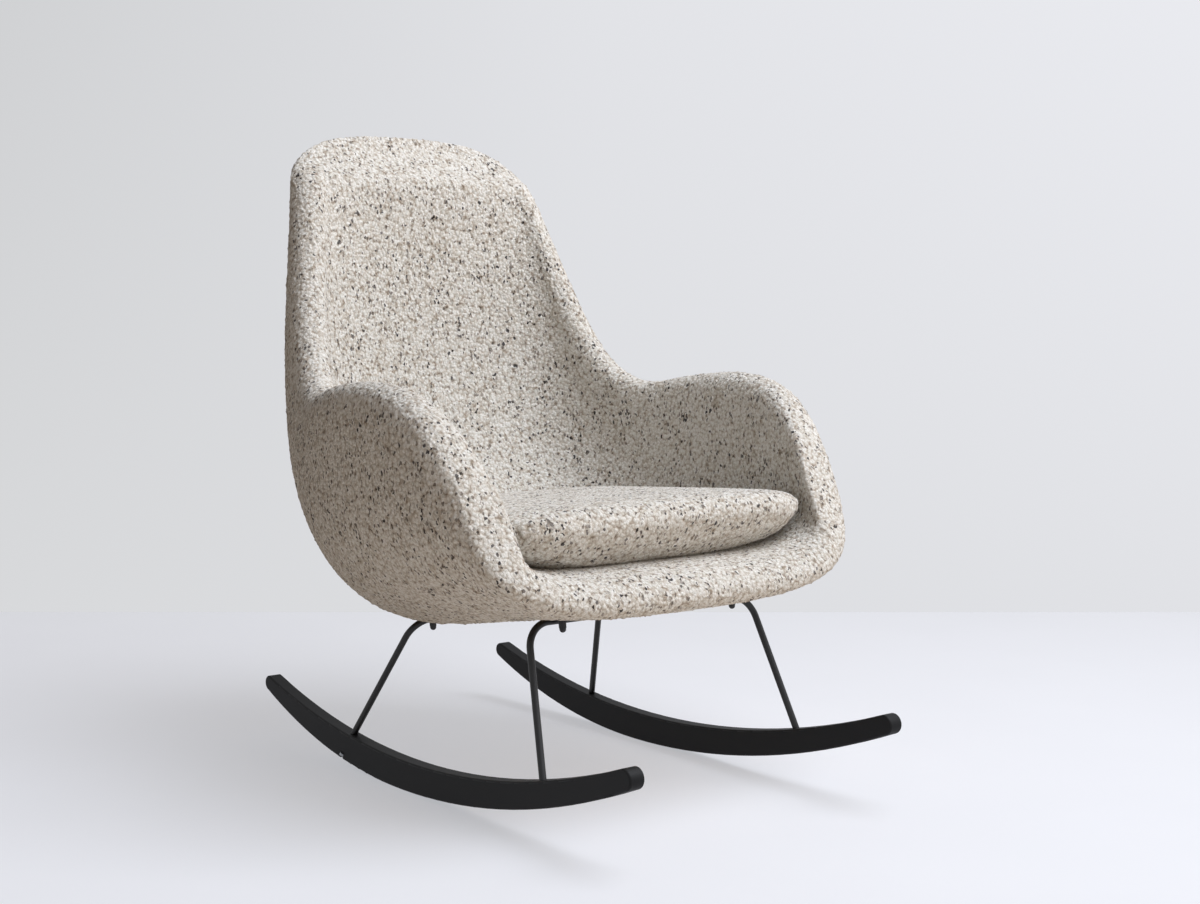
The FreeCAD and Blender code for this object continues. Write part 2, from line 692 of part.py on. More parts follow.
    for name, shape in nodes.items():
        if shape.ShapeType == "Compound" and len(shape.Solids) == 1:
            shape = shape.Solids[0]
        shape.exportStep("parts/" + name + ".step")
        box = shape.BoundBox
        size = "%.0f x %.0f x %.0f mm" % (box.XLength, box.YLength, box.ZLength)
        print(name, len(shape.Solids), shape.isValid(), "%.0f cm3" % (shape.Volume / 1000), size)


main()
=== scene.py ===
import bpy
import json
import math
import numpy as np
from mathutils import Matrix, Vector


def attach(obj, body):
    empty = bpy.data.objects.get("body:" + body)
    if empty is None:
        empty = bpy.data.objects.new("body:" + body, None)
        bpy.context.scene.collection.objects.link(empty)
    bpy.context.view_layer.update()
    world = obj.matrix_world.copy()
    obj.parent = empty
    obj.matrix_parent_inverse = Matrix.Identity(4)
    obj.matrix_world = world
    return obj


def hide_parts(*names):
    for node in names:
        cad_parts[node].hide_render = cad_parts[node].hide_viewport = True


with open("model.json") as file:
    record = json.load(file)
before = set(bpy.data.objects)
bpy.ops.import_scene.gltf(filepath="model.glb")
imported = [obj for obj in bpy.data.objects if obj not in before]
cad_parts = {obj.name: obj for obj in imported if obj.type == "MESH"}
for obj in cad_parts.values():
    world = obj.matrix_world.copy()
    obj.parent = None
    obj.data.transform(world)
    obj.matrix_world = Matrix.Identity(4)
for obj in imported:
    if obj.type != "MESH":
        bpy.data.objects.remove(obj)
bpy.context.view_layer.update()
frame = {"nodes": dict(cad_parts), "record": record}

# Upholstered rocking chair, metres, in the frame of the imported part: front is -Y, up is +Z.

# Bucket: overall size, place of its front and base, and the noses that close it past the end stations, with
# the length of a nose, how far its corners draw in and the length over which its wall closes
SHELL_WIDTH, SHELL_DEPTH, SHELL_HEIGHT = 0.740, 0.810, 0.770
SHELL_FRONT_Y, SHELL_BASE_Z = -0.358, 0.228
FRONT_NOSE, FRONT_CORNER = 0.036, 0.014
TOP_NOSE, TOP_CORNER, TOP_ROUND = 0.091, 0.088, 0.078

# One row per station from the lip to the top of the back: depth and height of the underside's middle line,
# half width, depth and height of the rim's middle (all as shares of the bucket), then the thickness in mm
# at the rim and on the middle line, the exponents of the outside and inside bends, and the degrees round the
# rim's bead at which the inside runs into it.
STATIONS = np.array([
    (0.049, 0.083, 0.835, 0.133, 0.312, 66, 60, 3.4, 5.4, 0),
    (0.136, 0.065, 0.881, 0.211, 0.401, 68, 80, 3.3, 6.2, 0),
    (0.288, 0.034, 0.905, 0.321, 0.446, 70, 100, 3.2, 6.0, 0),
    (0.491, 0.001, 0.905, 0.454, 0.451, 68, 114, 3.2, 5.6, 0),
    (0.677, 0.013, 0.878, 0.565, 0.440, 64, 104, 2.9, 4.8, 0),
    (0.831, 0.139, 0.820, 0.654, 0.436, 62, 78, 2.7, 3.4, 4),
    (0.920, 0.327, 0.745, 0.747, 0.496, 60, 68, 2.6, 2.5, 16),
    (0.957, 0.535, 0.670, 0.823, 0.632, 60, 66, 2.6, 2.1, 34),
    (0.971, 0.730, 0.598, 0.880, 0.779, 60, 66, 2.6, 1.9, 50),
    (0.978, 0.891, 0.546, 0.923, 0.891, 60, 66, 2.7, 1.9, 60),
])
# Control loops: their angles over a nose, their count over the body, the steps from the middle line to
# a rim, and the place of the rim's middle in a loop
NOSE = np.radians([86, 76, 62, 46, 28, 12])
BODY, TURNS = 26, 9
RIM_MIDDLE = 2 * TURNS + 2
# Samples on a line, and lines each way, by which the lengths of the surface are measured
SAMPLES, LINES = 700, 24

# Cushion: growth of the foam block's width, depth and height; pressure of the stuffing, how far that may
# push the cover, and for how many frames; the gap kept from the bucket and the lift at the end; mesh sizes
PLUMP = np.array((1.06, 1.03, 1.19))
STUFF_PRESSURE, STUFF_REACH, STUFF_FRAMES = 5.0, 0.024, 20
STUFF_GAP, LIFT = 0.003, 0.006
CUSHION_VOXEL, STOP_MESH = 0.006, 0.012

# Leg hoops, which the cover leaves room for: the corners of the cross runs and the ends of the legs on the
# sitter's left, then the rod, its bend, its gap to the board, and the room round it
FRONT_RUN = np.array((0.203, -0.212, 0.280))
REAR_RUN = np.array((0.179, 0.117, 0.236))
FEET = {"front": np.array((0.233, -0.287, 0.085)), "rear": np.array((0.233, 0.210, 0.052))}
ROD, ROD_BEND, ROD_TO_BOARD, ROD_ROOM = 0.010, 0.040, 0.0003, 0.003
BEND_SAMPLES, RUN_SAMPLES = 40, 60
# Mounting board: thickness, half width, lap past the hoops, corner radius, and offset of the front bolts
BOARD_THICK, BOARD_HALF_WIDTH, BOARD_LAP, BOARD_CORNER, BOLT_OFFSET = 0.009, 0.186, 0.026, 0.030, 0.015
# The cover's turned edge: its reach round the board, its width, its end above the board, and the heights
# under and over the board between which the cover is turned
EDGE_REACH, EDGE_WIDTH, EDGE_END, EDGE_LOW, EDGE_HIGH = 0.007, 0.0055, 0.004, -0.08, 0.03

# Boucle: how far apart the loops stand, how high they rise, and the spacing of the mesh that carries them
LOOP_PITCH, LOOP_RISE, LOOP_MESH = 0.0066, 0.0030, 0.0026
# Share of a loop's height that lies outside the plain surface, radius of a loop's dome in pitches, and
# height of the lowest loop as a share of the tallest
LOOP_OUT, LOOP_RADIUS, LOOP_LEAST = 0.45, 0.95, 0.55

# UV map of the bucket: margin at the ends of the grid, width of the end strips, and place of the last strip
UV_EDGE, UV_STRIP, UV_LAST = 0.02, 0.012, 0.985
# UV map of the cushion: how far its sides are pushed out, size and corner of the plan of the top, and the
# step from there to the plan of the underside
PLAN_PUSH, PLAN_SIZE, PLAN_CORNER, PLAN_STEP = 0.05, (0.48, 0.96), (0.01, 0.02), 0.5


# Surfaces

def spline_weights(at, count, closed):
    """Weights of each control point at each place: uniform cubic B-spline, periodic or with clamped ends."""
    at = np.asarray(at, float)
    if closed:
        first = np.floor(at).astype(int)
        t = at - first
        parts = ((1 - t) ** 3, 3 * t ** 3 - 6 * t ** 2 + 4, -3 * t ** 3 + 3 * t ** 2 + 3 * t + 1, t ** 3)
        weights = np.zeros((len(at), count))
        rows = np.arange(len(at))
        for k, part in enumerate(parts):
            weights[rows, (first + k - 1) % count] += part / 6
        return weights
    last = count - 3
    knots = np.concatenate([[0] * 3, np.arange(last + 1), [last] * 3]).astype(float)
    at = np.clip(at, 0, last - 1e-9)
    basis = ((at[:, None] >= knots[:-1]) & (at[:, None] < knots[1:])).astype(float)
    for degree in (1, 2, 3):
        span = knots[degree:] - knots[:-degree]
        safe = np.where(span > 0, span, 1.0)
        rise = np.where(span > 0, (at[:, None] - knots[:-degree]) / safe, 0.0)
        fall = np.where(span > 0, (knots[degree:] - at[:, None]) / safe, 0.0)
        basis = rise[:, :-1] * basis[:, :-1] + fall[:, 1:] * basis[:, 1:]
    return basis


def even_places(points, count, low, high):
    """Parameters that divide lines, given as samples from low to high, into steps of even mean length."""
    steps = np.linalg.norm(np.diff(points, axis=0), axis=-1)
    steps = steps / steps.sum(0)
    run = np.concatenate([[0], np.cumsum(steps.mean(1))])
    return np.interp(np.linspace(0, 1, count), run / run[-1], np.linspace(low, high, len(run)))


def guide(steps, values):
    """Cubic spline through one row per station, its end slopes taken from a cubic through four stations.
    Returns a function of the place along the run that gives values and slopes."""
    n = len(steps)
    gap = np.diff(steps)
    slope = np.diff(values, axis=0) / gap[:, None]

    def end_slope(index, where):
        """Slope at an end of the cubic through four stations."""
        powers = np.vander(steps[index] - where, 4)
        return np.linalg.solve(powers, values[index])[2]

    system = np.zeros((n, n))
    right = np.zeros_like(values)
    system[0, 0] = system[-1, -1] = 1
    right[0] = end_slope(slice(0, 4), steps[0])
    right[-1] = end_slope(slice(n - 4, n), steps[-1])
    for i in range(1, n - 1):
        system[i, i - 1:i + 2] = gap[i], 2 * (gap[i - 1] + gap[i]), gap[i - 1]
        right[i] = 3 * (gap[i] * slope[i - 1] + gap[i - 1] * slope[i])
    bend = np.linalg.solve(system, right)

    def at(where):
        """Values and slopes of the cubic that meets the values and slopes of the two nearest stations."""
        where = np.asarray(where, float)
        i = np.clip(np.searchsorted(steps, where, side="right") - 1, 0, n - 2)
        h = gap[i][:, None]
        t = (where - steps[i])[:, None] / h
        a, b, p, q = values[i], values[i + 1], bend[i] * h, bend[i + 1] * h
        here = a + t * p + t ** 2 * (3 * (b - a) - 2 * p - q) + t ** 3 * (2 * (a - b) + p + q)
        rate = (p + 2 * t * (3 * (b - a) - 2 * p - q) + 3 * t ** 2 * (2 * (a - b) + p + q)) / h
        return here, rate

    return at


def bucket_planes():
    """Cross-section planes from the lip's nose over the body to the top's nose.
    Each row holds the keel point (y, z), the rim point (x, y, z), both thicknesses, both exponents, the lift
    in radians and the share of the wall that is still open. A nose runs on straight past the end station;
    the wall closes on a quarter ellipse over the nose's round, and the width draws in on another."""
    s = STATIONS
    keel = np.c_[SHELL_FRONT_Y + s[:, 0] * SHELL_DEPTH, SHELL_BASE_Z + s[:, 1] * SHELL_HEIGHT]
    rim = np.c_[s[:, 2] * SHELL_WIDTH / 2, SHELL_FRONT_Y + s[:, 3] * SHELL_DEPTH,
                SHELL_BASE_Z + s[:, 4] * SHELL_HEIGHT]
    middle = (keel + rim[:, 1:]) / 2
    steps = np.concatenate([[0], np.cumsum(np.linalg.norm(np.diff(middle, axis=0), axis=1))])
    run = steps[-1]
    along = guide(steps / run, np.c_[keel, rim, s[:, 5:7] / 1000, s[:, 7:9], np.radians(s[:, 9])])

    def nose(end, length, corner, round_length):
        """Rows past an end station, each ahead by the nose's length times the sine of its angle."""
        ahead = length * np.sin(NOSE)
        into = np.clip((ahead - length + round_length) / round_length, 0, None)
        here, rate = along(np.full(len(NOSE), float(end)))
        rows = here.copy()
        rows[:, :5] += rate[:, :5] * (ahead / run * (1 if end else -1))[:, None]
        rows[:, 2] -= corner * (1 - np.sqrt(1 - (ahead / length) ** 2))
        return np.c_[rows, np.sqrt(1 - into ** 2)]

    body = along(np.arange(BODY + 1) / BODY)[0]
    front = nose(0, FRONT_NOSE, FRONT_CORNER, FRONT_NOSE)
    top = nose(1, TOP_NOSE, TOP_CORNER, TOP_ROUND)
    return np.concatenate([front, np.c_[body, np.ones(len(body))], top[::-1]])


def bucket_net():
    """Control loops of the bucket, one per plane: outside curve, rim, inside curve, other rim.
    The curves are superellipses between the middle line and the rim; the rims are half circles."""
    p = bucket_planes()
    keel, rim, wall, floor, apart = p[:, 0:2], p[:, 2:5], p[:, 5], p[:, 6], p[:, 10]
    rise = rim[:, 1:] - keel
    high = np.linalg.norm(rise, axis=1)
    up = rise / high[:, None]
    half, mid = wall / 2 * apart, rim[:, 0]

    def place(x, h):
        """Points in each plane, x to the side and h up from the keel towards the rim."""
        flat = keel[:, None, :] + up[:, None, :] * h[:, :, None]
        return np.concatenate([x[:, :, None], flat], axis=2)

    angle = np.pi / 2 * np.arange(-TURNS, TURNS + 1) / TURNS

    def curve(side):
        """Superellipse from rim to rim, outside for -1 and inside for 1: to the side the sine, and up one
        minus the cosine, each to the power of two over the exponent."""
        lift = p[:, 9] if side > 0 else 0.0
        low = floor / 2 * (1 + side * apart)
        top = high + half * np.sin(lift)
        wide = mid - side * half * np.cos(lift)
        share = (1 + side * apart) / 2
        power = (2 / (p[:, 7] + (p[:, 8] - p[:, 7]) * share))[:, None]
        x = np.sign(angle) * np.abs(np.sin(angle)) ** power
        h = 1 - np.abs(np.cos(angle)).round(12) ** power
        return place(wide[:, None] * x, low[:, None] + (top - low)[:, None] * h)

    quarter = np.full(len(p), np.pi / 4)
    turn = np.stack([quarter, 2 * quarter, 3 * quarter - p[:, 9] / 2], axis=1)
    bead = place(mid[:, None] + half[:, None] * np.cos(turn), high[:, None] + half[:, None] * np.sin(turn))
    return np.concatenate([curve(-1), bead, curve(1)[:, ::-1], (bead * (-1, 1, 1))[:, ::-1]], axis=1)


def net_grid(net, pitch, middle):
    """Grid of points on the B-spline surface over control loops, spaced about a pitch apart both ways.
    The places round a loop are mirrored about the control point named middle."""
    along, around = net.shape[:2]
    fine_u = np.linspace(0, around / 2, SAMPLES)
    fine_v = np.linspace(0, along - 3, SAMPLES)
    some_v = np.linspace(0, along - 3, LINES)[2:-2]
    lines = np.einsum("va,aic,ui->uvc", spline_weights(some_v, along, False), net,
                      spline_weights(middle + fine_u, around, True))
    runs = np.einsum("va,aic,ui->vuc", spline_weights(fine_v, along, False), net,
                     spline_weights(np.linspace(0, around, LINES, endpoint=False), around, True))
    half_long = np.linalg.norm(np.diff(lines, axis=0), axis=-1).sum(0).max()
    run_long = np.linalg.norm(np.diff(runs, axis=0), axis=-1).sum(0).max()
    u = even_places(lines, int(half_long / pitch), 0, around / 2)
    u = np.concatenate([middle + u, middle - u[-2:0:-1]]) % around
    v = even_places(runs, int(run_long / pitch), 0, along - 3)
    wu = spline_weights(u, around, True)
    wv = spline_weights(v, along, False)
    return np.einsum("va,aic,ui->vuc", wv, net, wu, optimize=True)


def scattered(cells, salt):
    """A number from 0 to 1 for each whole-numbered cell: its three indices times large factors, mixed by
    exclusive or and shifts."""
    a, b, c = np.moveaxis(cells, -1, 0)
    h = (a * 73856093) ^ (b * 19349663) ^ (c * 83492791) ^ (salt * 2654435761)
    h = (h ^ (h >> 13)) * 1274126177 & 0xFFFFFFFF
    h = (h ^ (h >> 16)) * 2246822519 & 0xFFFFFFFF
    return ((h ^ (h >> 15)) & 0xFFFFFF) / 0x1000000


def loop_heights(points, pitch):
    """Height from 0 to 1 of yarn loops that stand one to a cell of the pitch, each at a random place in its
    cell: a round dome over the nearest loop, with a random height of its own."""
    q = points / pitch
    base = np.floor(q).astype(np.int64)
    nearest = np.full(len(q), np.inf)
    tall = np.zeros(len(q))
    for shift in np.ndindex(3, 3, 3):
        cell = base + np.array(shift) - 1
        seat = cell + np.stack([scattered(cell, k) for k in (1, 2, 3)], axis=-1)
        far = np.linalg.norm(q - seat, axis=1)
        closer = far < nearest
        tall = np.where(closer, scattered(cell, 4), tall)
        nearest = np.where(closer, far, nearest)
    dome = np.sqrt(np.clip(1 - (nearest / LOOP_RADIUS) ** 2, 0, 1))
    return dome * (LOOP_LEAST + (1 - LOOP_LEAST) * tall)


def add_mesh(name, points, faces, uv=None):
    """A mesh object at the origin from points and faces of three or four corners, with any UV per corner."""
    mesh = bpy.data.meshes.new(name)
    sizes = np.concatenate([np.full(len(f), f.shape[1]) for f in faces])
    corners = np.concatenate([f.ravel() for f in faces])
    mesh.vertices.add(len(points))
    mesh.vertices.foreach_set("co", points.astype(np.float32).ravel())
    mesh.loops.add(len(corners))
    mesh.loops.foreach_set("vertex_index", corners.astype(np.int32))
    mesh.polygons.add(len(sizes))
    mesh.polygons.foreach_set("loop_start", np.concatenate([[0], np.cumsum(sizes)[:-1]]).astype(np.int32))
    mesh.polygons.foreach_set("loop_total", sizes.astype(np.int32))
    mesh.polygons.foreach_set("use_smooth", np.ones(len(sizes), bool))
    if uv is not None:
        mesh.uv_layers.new(name="OFBake").uv.foreach_set("vector", uv.astype(np.float32).ravel())
    mesh.update(calc_edges=True)
    mesh.validate()
    obj = bpy.data.objects.new(name, mesh)
    bpy.context.scene.collection.objects.link(obj)
    return obj


def tube_faces(rows, around):
    """Quads of a grid that closes on itself round, and a strip over each end that joins mirrored points.
    Also the UV corners: the grid laid flat, with the strips folded to its ends."""
    i, j = np.meshgrid(np.arange(rows - 1), np.arange(around), indexing="ij")
    k = (j + 1) % around
    quads = np.stack([i * around + j, i * around + k, (i + 1) * around + k, (i + 1) * around + j], -1)
    quads = quads.reshape(-1, 4)
    wide = np.stack([j, j + 1, j + 1, j], -1).reshape(-1, 4) / around
    tall = np.stack([i, i, i + 1, i + 1], -1).reshape(-1, 4) / (rows - 1)
    uv = np.stack([wide, UV_EDGE + (1 - 2 * UV_EDGE) * tall], -1).reshape(-1, 2)
    faces, corners = [quads], [uv]
    half = around // 2
    a = np.arange(1, half - 1)
    for row, turn, low in ((0, 1, 0.0), (rows - 1, -1, UV_LAST)):
        strip = row * around + np.stack([a, -a % around, -(a + 1) % around, a + 1], -1)
        ends = row * around + np.array([[0, -1 % around, 1], [half, half - 1, half + 1]])
        faces += [strip[:, ::turn], ends[:, ::turn]]
        su = np.stack([a, a, a + 1, a + 1], -1) / around
        sv = np.broadcast_to(low + UV_STRIP * np.array([0.0, 1.0, 1.0, 0.0]), su.shape)
        corners.append(np.stack([su, sv], -1)[:, ::turn].reshape(-1, 2))
        corners.append(np.tile([[0.9, low], [0.95, low], [0.92, low + UV_STRIP]], (2, 1)))
    return faces, np.concatenate(corners)


# Room for the board and the hoops under the seat

def board_axes():
    """The board's plane: a point over the front hoop, the ways back and up, and the span of the hoops."""
    back = np.array((0.0, *(REAR_RUN - FRONT_RUN)[1:]))
    span = np.linalg.norm(back)
    back = back / span
    up = np.array((0.0, -back[2], back[1]))
    origin = np.array((0.0, *FRONT_RUN[1:])) + up * (ROD / 2 + ROD_TO_BOARD)
    return origin, back, up, span


def board_recess(points):
    """Turns the cover up into a recess round the board: points within the board's rounded outline, grown by
    the width of the turned edge, rise to just above the board, by a smooth step of the distance."""
    origin, back, up, span = board_axes()
    local = points - origin
    x, y, h = local[..., 0], local @ back, local @ up
    front, rear = -BOLT_OFFSET - BOARD_LAP, span + BOARD_LAP
    qx = np.abs(x) - (BOARD_HALF_WIDTH - BOARD_CORNER)
    qy = np.abs(y - (front + rear) / 2) - ((rear - front) / 2 - BOARD_CORNER)
    off = np.hypot(np.maximum(qx, 0), np.maximum(qy, 0)) + np.minimum(np.maximum(qx, qy), 0) - BOARD_CORNER
    t = np.clip((EDGE_REACH - off) / EDGE_WIDTH, 0, 1)
    t = t * t * (3 - 2 * t) * ((h < BOARD_THICK + EDGE_HIGH) & (h > EDGE_LOW))
    return points + up * (t * np.maximum(BOARD_THICK + EDGE_END - h, 0))[..., None]


def hoop_line(run, foot):
    """Samples of half a hoop's centre line: the cross run, a quarter bend and the leg."""
    legs = (foot - run) / np.linalg.norm(foot - run)
    across = np.array((-1.0, 0.0, 0.0))
    half = math.acos(np.clip(across @ legs, -1, 1)) / 2
    back = ROD_BEND / math.tan(half)
    inward = (across + legs) / np.linalg.norm(across + legs)
    centre = run + inward * ROD_BEND / math.sin(half)
    turn = np.linspace(0, 1, BEND_SAMPLES)[:, None]
    start, end = run + across * back - centre, run + legs * back - centre
    bend = np.pi - 2 * half
    arc = start * np.cos(turn * bend) + (end - start * np.cos(bend)) * np.sin(turn * bend) / np.sin(bend)
    flat = np.linspace(0, 1, RUN_SAMPLES)[:, None]
    return np.concatenate([np.array((0, run[1], run[2])) * (1 - flat) + (run + across * back) * flat,
                           centre + arc, (run + legs * back) * (1 - flat) + foot * flat])


def rod_grooves(points):
    """Lifts the cover off the hoops: a point nearer to a hoop's centre line than the rod's radius and a
    little more moves up, square to the board, until it is that far away."""
    up = board_axes()[2]
    flat = points.reshape(-1, 3).copy()
    room = ROD / 2 + ROD_ROOM
    for run, foot in ((FRONT_RUN, FEET["front"]), (REAR_RUN, FEET["rear"])):
        line = hoop_line(run, foot)
        line = np.concatenate([line, line * (-1, 1, 1)])
        near = np.all((flat > line.min(0) - room) & (flat < line.max(0) + room), axis=1)
        spots = flat[near]
        away = spots[:, None, :] - line[None]
        far = np.einsum("pqc,pqc->pq", away, away)
        best = far.argmin(1)
        away = away[np.arange(len(spots)), best]
        least = far[np.arange(len(spots)), best]
        b = away @ up
        lift = -b + np.sqrt(np.maximum(b * b - (least - room ** 2), 0))
        flat[near] = spots + up * np.where(least < room ** 2, np.maximum(lift, 0), 0)[:, None]
    return flat.reshape(points.shape)


# Soft pieces

def vertex_places(mesh):
    """The places of a mesh's vertices, one row each."""
    spots = np.empty(3 * len(mesh.vertices), np.float32)
    mesh.vertices.foreach_get("co", spots)
    return spots.reshape(-1, 3)


def vertex_normals(mesh):
    """The normals of a mesh's vertices, one row each."""
    ways = np.empty(3 * len(mesh.vertices), np.float32)
    mesh.vertex_normals.foreach_get("vector", ways)
    return ways.reshape(-1, 3)


def move_vertices(mesh, spots):
    """Puts a mesh's vertices at new places, one row each."""
    mesh.vertices.foreach_set("co", spots.astype(np.float32).ravel())
    mesh.update()


def raise_loops(obj):
    """Moves each vertex along its normal by the height of the yarn loop over it, and keeps that height from
    0 to 1 as the attribute loop_height, which the cloth's colour reads to paint shade where the loops are
    low."""
    mesh = obj.data
    spots = vertex_places(mesh).astype(float)
    heights = loop_heights(spots, LOOP_PITCH)
    spots += vertex_normals(mesh) * (LOOP_RISE * (heights - 1 + LOOP_OUT))[:, None]
    kept = mesh.attributes.new("loop_height", "FLOAT", "POINT")
    kept.data.foreach_set("value", heights.astype(np.float32))
    move_vertices(mesh, spots)


def bucket_upholstery():
    """The covered bucket: B-spline over the control loops, turned up round the board, with yarn loops."""
    grid = rod_grooves(board_recess(net_grid(bucket_net(), LOOP_MESH, RIM_MIDDLE)))
    faces, uv = tube_faces(*grid.shape[:2])
    obj = add_mesh("bucket_upholstery", grid.reshape(-1, 3), faces, uv)
    raise_loops(obj)
    return obj


def cushion_uv(mesh):
    """UV map of the cushion: the plan of the top beside the plan of the underside, each corner pushed
    outward with its normal so that the sides have room."""
    corner = np.empty(len(mesh.loops), np.int32)
    mesh.loops.foreach_get("vertex_index", corner)
    facing = np.empty(3 * len(mesh.polygons), np.float32)
    mesh.polygons.foreach_get("normal", facing)
    sizes = np.empty(len(mesh.polygons), np.int32)
    mesh.polygons.foreach_get("loop_total", sizes)
    flat = vertex_places(mesh)[:, :2] + PLAN_PUSH * vertex_normals(mesh)[:, :2]
    flat = (flat - flat.min(0)) / (flat.max(0) - flat.min(0))
    upper = np.repeat(facing.reshape(-1, 3)[:, 2] > 0, sizes)
    uv = flat[corner] * PLAN_SIZE + PLAN_CORNER
    uv[~upper, 0] += PLAN_STEP
    mesh.uv_layers.new(name="OFBake").uv.foreach_set("vector", uv.astype(np.float32).ravel())


def seat_cushion():
    """The loose cushion: the CAD core's form, remeshed, blown up by its stuffing against the bucket, then
    smoothed once and given yarn loops."""
    core = frame["nodes"]["cushion_core"].data
    obj = bpy.data.objects.new("seat_cushion", core.copy())
    obj.data.name = "seat_cushion"
    obj.data.materials.clear()
    bpy.context.scene.collection.objects.link(obj)
    weld = obj.modifiers.new("weld", "WELD")
    weld.merge_threshold = 0.0001
    even = obj.modifiers.new("even", "REMESH")
    even.mode, even.voxel_size, even.use_smooth_shade = "VOXEL", CUSHION_VOXEL, True
    settle(obj)
    plump(obj.data)
    stuff(obj)
    fine = obj.modifiers.new("fine", "SUBSURF")
    fine.levels = fine.render_levels = 1
    settle(obj)
    raise_loops(obj)
    cushion_uv(obj.data)
    return obj


def plump(mesh):
    """Grows a mesh about the middle of its underside by the three factors of PLUMP."""
    spots = vertex_places(mesh)
    low, high = spots.min(axis=0), spots.max(axis=0)
    seat = np.array(((low[0] + high[0]) / 2, (low[1] + high[1]) / 2, low[2]))
    move_vertices(mesh, seat + (spots - seat) * PLUMP)


def settle(obj):
    """Turns an object's modifiers into its mesh."""
    made = bpy.data.meshes.new_from_object(obj.evaluated_get(bpy.context.evaluated_depsgraph_get()))
    made.name = obj.name
    obj.modifiers.clear()
    obj.data = made
    made.polygons.foreach_set("use_smooth", np.ones(len(made.polygons), bool))


def stuff(obj):
    """Cloth under pressure from inside, stopped by the bucket. No point moves further than STUFF_REACH; the
    cushion then lies LIFT higher, on the yarn loops of the two covers."""
    before = vertex_places(obj.data)
    grid = net_grid(bucket_net(), STOP_MESH, RIM_MIDDLE)
    wall = add_mesh("cushion_stop", grid.reshape(-1, 3), tube_faces(*grid.shape[:2])[0])
    wall.modifiers.new("stop", "COLLISION")
    wall.collision.thickness_outer = STUFF_GAP
    cloth = obj.modifiers.new("stuffing", "CLOTH")
    cloth.settings.quality = 8
    cloth.settings.mass = 0.25
    cloth.settings.tension_stiffness = cloth.settings.compression_stiffness = 18
    cloth.settings.bending_stiffness = 2
    cloth.settings.use_pressure = True
    cloth.settings.uniform_pressure_force = STUFF_PRESSURE
    cloth.settings.effector_weights.gravity = 0
    cloth.collision_settings.distance_min = STUFF_GAP
    scene = bpy.context.scene
    for number in range(1, STUFF_FRAMES + 1):
        scene.frame_set(number)
    settle(obj)
    scene.frame_set(1)
    bpy.data.objects.remove(wall)
    move = vertex_places(obj.data) - before
    far = np.linalg.norm(move, axis=1, keepdims=True)
    move *= np.minimum(1, STUFF_REACH / np.maximum(far, 1e-9))
    move[:, 2] += LIFT
    move_vertices(obj.data, before + move)


# Materials

def linear(colour):
    """Linear RGBA of an sRGB hex colour."""
    parts = [int(colour[i:i + 2], 16) / 255 for i in (1, 3, 5)]
    return [p / 12.92 if p <= 0.04045 else ((p + 0.055) / 1.055) ** 2.4 for p in parts] + [1.0]


def add(tree, kind, links=None, stops=(), **settings):
    """Adds a node: settings name its properties or inputs, stops are the places and hex colours of a ramp,
    and links map its inputs to other nodes' outputs."""
    made = tree.nodes.new(kind)
    for name, value in settings.items():
        if hasattr(made, name):
            setattr(made, name, value)
        else:
            made.inputs[name.replace("_", " ")].default_value = value
    for k, (at, colour) in enumerate(stops):
        # a new ramp already has two stops
        stop = made.color_ramp.elements[k] if k < 2 else made.color_ramp.elements.new(at)
        stop.position, stop.color = at, linear(colour)
    for name, source in (links or {}).items():
        tree.links.new(source, made.inputs[name])
    return made


def material(name):
    """A new material with its node tree, its shader and the piece's own coordinates in metres."""
    made = bpy.data.materials.new(name)
    made.use_nodes = True
    tree = made.node_tree
    shader = tree.nodes["Principled BSDF"]
    place = add(tree, "ShaderNodeTexCoord").outputs["Object"]
    return made, tree, shader, place


def seen_rays(tree):
    """1 for rays from the camera, straight, mirrored or through glass, and 0 for light on its way."""
    rays = add(tree, "ShaderNodeLightPath").outputs
    seen = rays["Is Camera Ray"]
    for kind in ("Is Glossy Ray", "Is Transmission Ray"):
        seen = add(tree, "ShaderNodeMath", {0: seen, 1: rays[kind]}, operation="MAXIMUM").outputs[0]
    return seen


